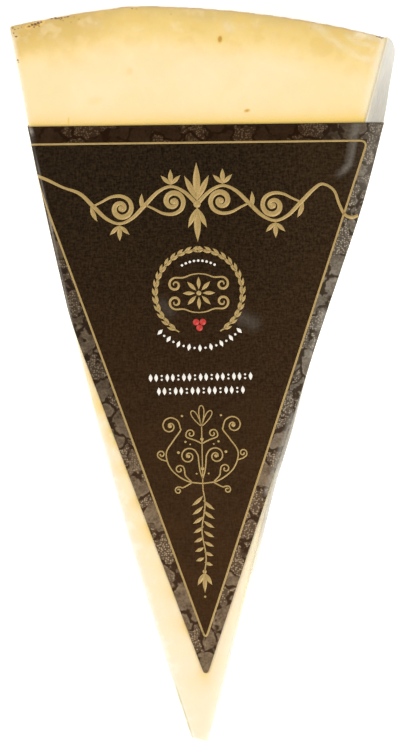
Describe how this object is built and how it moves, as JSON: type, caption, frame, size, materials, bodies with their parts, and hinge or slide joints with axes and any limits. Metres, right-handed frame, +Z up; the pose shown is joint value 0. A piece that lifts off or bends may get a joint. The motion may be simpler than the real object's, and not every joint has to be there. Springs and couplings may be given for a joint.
{
  "type": "truffle cheese",
  "caption": "Long thin wedge of pale semi-hard truffle cheese, vacuum packed in clear film with a dark three-sided paper label on its upper face, for eating.",
  "frame": {"origin": "middle of the wedge's box, at the level of the face it lies on", "axes": "+Y from the wedge's blunt tip to its curved rim, +Z up out of the labelled face, +X to the right with the rim away from the viewer"},
  "size_m": [0.0764, 0.147, 0.0325],
  "materials": {
    "sealed_bag": "tight clear film over a pale yellow cheese",
    "label": "dark brown paper with a satin varnish and gold ornament"
  },
  "bodies": {
    "root": {"sealed_bag": "sealed_bag", "label": "label"}
  },
  "joints": []
}
